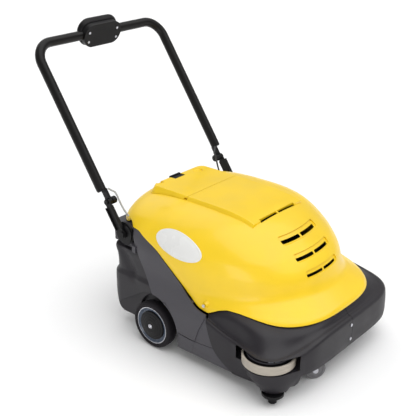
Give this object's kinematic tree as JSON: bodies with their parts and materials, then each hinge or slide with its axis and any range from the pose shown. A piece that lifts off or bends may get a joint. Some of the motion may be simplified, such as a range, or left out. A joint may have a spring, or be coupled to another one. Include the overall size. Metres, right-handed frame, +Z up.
{
  "type": "walk-behind sweeper",
  "caption": "Walk-behind battery floor sweeper: moulded hood over a low base, rear slide-out hopper, corner bumper roller, tilting U-handle and a drive spindle for a side brush.",
  "frame": {"origin": "middle of the whole machine's bounding box, on the floor", "axes": "+Z up, -Y the way the machine drives, +X to the left-hand side seen by an operator who stands behind it looking forwards"},
  "size_m": [0.772, 1.2767, 1.0727],
  "materials": {
    "base_plastic": "moulded, fine satin grain",
    "bumper_plastic": "moulded, satin",
    "zinc": "zinc plated",
    "black_plastic": "moulded, matt",
    "pod_plastic": "moulded, satin",
    "roller_rubber": "pale non-marking rubber",
    "hood_plastic": "moulded, semi-gloss yellow",
    "badge": "plain printed plate",
    "hopper_plastic": "rotation moulded, matt",
    "frame_steel": "powder coat",
    "tyre": "solid rubber",
    "rim_metal": "pressed steel, zinc plated",
    "caster_rubber": "grey non-marking rubber",
    "broom_tube": "moulded",
    "bristle": "nylon tufts",
    "motor_case": "painted steel can",
    "pulley": "turned",
    "belt": "ribbed belt",
    "battery_case": "moulded",
    "filter_paper": "pleated paper",
    "handle_coat": "satin powder coat",
    "switch_red": "moulded",
    "cable_light": "pvc jacket",
    "cable_dark": "pvc jacket"
  },
  "bodies": {
    "chassis": {"chassis_tub": "base_plastic", "bumper_right": "bumper_plastic", "bumper_left": "bumper_plastic", "body_screws": "zinc", "corner_plate": "base_plastic", "roller_post": "black_plastic", "hood": "hood_plastic", "badges": "badge", "frame_rails": "frame_steel", "stub_axles": "zinc", "caster_plates": "zinc", "broom_bearings": "frame_steel", "broom_motor": "motor_case", "drive_belt": "belt", "side_brush_motor": "motor_case", "battery": "battery_case", "charger": "battery_case", "suction_fan": "battery_case", "dust_filter": "filter_paper", "pivot_discs": "black_plastic", "pivot_bolts": "zinc", "cable_right": "cable_light", "cable_left": "cable_dark", "cable_right_end": "cable_light", "cable_left_end": "cable_dark"},
    "wheel_right": {"wheel_right_tyre": "tyre", "wheel_right_rim": "rim_metal", "wheel_right_cap": "black_plastic", "wheel_right_bolt": "zinc"},
    "wheel_left": {"wheel_left_tyre": "tyre", "wheel_left_rim": "rim_metal", "wheel_left_cap": "black_plastic", "wheel_left_bolt": "zinc"},
    "caster_right_swivel": {"caster_right_fork": "zinc"},
    "caster_right_roll": {"caster_right_wheel": "caster_rubber"},
    "caster_left_swivel": {"caster_left_fork": "zinc"},
    "caster_left_roll": {"caster_left_wheel": "caster_rubber"},
    "corner_roller": {"roller_core": "black_plastic", "roller_tyre": "roller_rubber"},
    "side_brush_drive": {"side_brush_hub": "black_plastic"},
    "broom": {"broom_core": "broom_tube", "broom_bristles": "bristle", "broom_pulley": "pulley"},
    "motor_drive": {"motor_pulley": "pulley"},
    "hopper_drawer": {"hopper": "hopper_plastic"},
    "clip_right": {"hopper_clip_right": "zinc"},
    "clip_left": {"hopper_clip_left": "zinc"},
    "lid_cover": {"lid": "hood_plastic", "lid_hinge_pins": "zinc"},
    "latch": {"lid_latch": "black_plastic"},
    "handle_lower": {"arm_right": "frame_steel", "arm_left": "frame_steel"},
    "handle_upper": {"handle_tube": "handle_coat", "handle_ends": "black_plastic", "pod_top": "pod_plastic", "pod_bottom": "black_plastic", "pod_screws": "zinc"},
    "knob_right": {"fold_knob_right": "black_plastic"},
    "knob_left": {"fold_knob_left": "black_plastic"},
    "switch": {"pod_switch": "switch_red"}
  },
  "joints": [
    {"name": "wheel_right_spin", "type": "hinge", "parent": "chassis", "child": "wheel_right", "pos_m": [-0.333, -0.01405, 0.09], "axis": [1, 0, 0], "continuous": true},
    {"name": "wheel_left_spin", "type": "hinge", "parent": "chassis", "child": "wheel_left", "pos_m": [0.355, -0.01405, 0.09], "axis": [1, 0, 0], "continuous": true},
    {"name": "caster_right_turn", "type": "hinge", "parent": "chassis", "child": "caster_right_swivel", "pos_m": [-0.149, -0.55805, 0.095], "axis": [0, 0, 1], "continuous": true},
    {"name": "caster_left_turn", "type": "hinge", "parent": "chassis", "child": "caster_left_swivel", "pos_m": [0.171, -0.55805, 0.095], "axis": [0, 0, 1], "continuous": true},
    {"name": "caster_right_spin", "type": "hinge", "parent": "caster_right_swivel", "child": "caster_right_roll", "pos_m": [-0.12602, -0.57733, 0.038], "axis": [-0.6428, -0.766, 0], "continuous": true},
    {"name": "caster_left_spin", "type": "hinge", "parent": "caster_left_swivel", "child": "caster_left_roll", "pos_m": [0.1588, -0.53064, 0.038], "axis": [0.9135, 0.4067, 0], "continuous": true},
    {"name": "roller_spin", "type": "hinge", "parent": "chassis", "child": "corner_roller", "pos_m": [-0.294, -0.50305, 0.139], "axis": [0, 0, 1], "continuous": true},
    {"name": "side_brush_spin", "type": "hinge", "parent": "chassis", "child": "side_brush_drive", "pos_m": [-0.335, -0.55305, 0.06], "axis": [0, 0, 1], "continuous": true},
    {"name": "broom_spin", "type": "hinge", "parent": "chassis", "child": "broom", "pos_m": [0.011, -0.16305, 0.118], "axis": [1, 0, 0], "continuous": true},
    {"name": "motor_pulley_spin", "type": "hinge", "parent": "chassis", "child": "motor_drive", "pos_m": [0.287, -0.34505, 0.172], "axis": [1, 0, 0], "continuous": true},
    {"name": "hopper_slide", "type": "slide", "parent": "chassis", "child": "hopper_drawer", "axis": [0, 1, 0], "range_m": [0, 0.26]},
    {"name": "clip_right_hinge", "type": "hinge", "parent": "hopper_drawer", "child": "clip_right", "pos_m": [-0.177, 0.23995, 0.322], "axis": [1, 0, 0], "range_deg": [-110, 0]},
    {"name": "clip_left_hinge", "type": "hinge", "parent": "hopper_drawer", "child": "clip_left", "pos_m": [0.199, 0.23995, 0.322], "axis": [1, 0, 0], "range_deg": [-110, 0]},
    {"name": "lid_hinge", "type": "hinge", "parent": "chassis", "child": "lid_cover", "pos_m": [0.011, 0.00895, 0.5222], "axis": [1, 0, 0], "range_deg": [0, 80]},
    {"name": "latch_hinge", "type": "hinge", "parent": "lid_cover", "child": "latch", "pos_m": [-0.001, 0.16195, 0.5225], "axis": [1, 0, 0], "range_deg": [0, 30], "stiffness_Nm_per_rad": 0.2},
    {"name": "handle_tilt", "type": "hinge", "parent": "chassis", "child": "handle_lower", "pos_m": [0.011, 0.16295, 0.39], "axis": [1, 0, 0], "range_deg": [-25, 20], "deforming": ["cable_right", "cable_left"]},
    {"name": "handle_fold", "type": "hinge", "parent": "handle_lower", "child": "handle_upper", "pos_m": [0.011, 0.23658, 0.49835], "axis": [1, 0, 0], "range_deg": [0, 105], "deforming": ["cable_right_end", "cable_left_end"]},
    {"name": "knob_right_turn", "type": "hinge", "parent": "handle_lower", "child": "knob_right", "pos_m": [-0.289, 0.23658, 0.49835], "axis": [1, 0, 0], "continuous": true},
    {"name": "knob_left_turn", "type": "hinge", "parent": "handle_lower", "child": "knob_left", "pos_m": [0.311, 0.23658, 0.49835], "axis": [1, 0, 0], "continuous": true},
    {"name": "switch_rock", "type": "hinge", "parent": "handle_upper", "child": "switch", "pos_m": [0.011, 0.62747, 1.034], "axis": [1, 0, 0], "range_deg": [-8, 8]}
  ],
  "couplings": [
    {"joint": "motor_pulley_spin", "follows": "broom_spin", "ratio": 2.5}
  ]
}
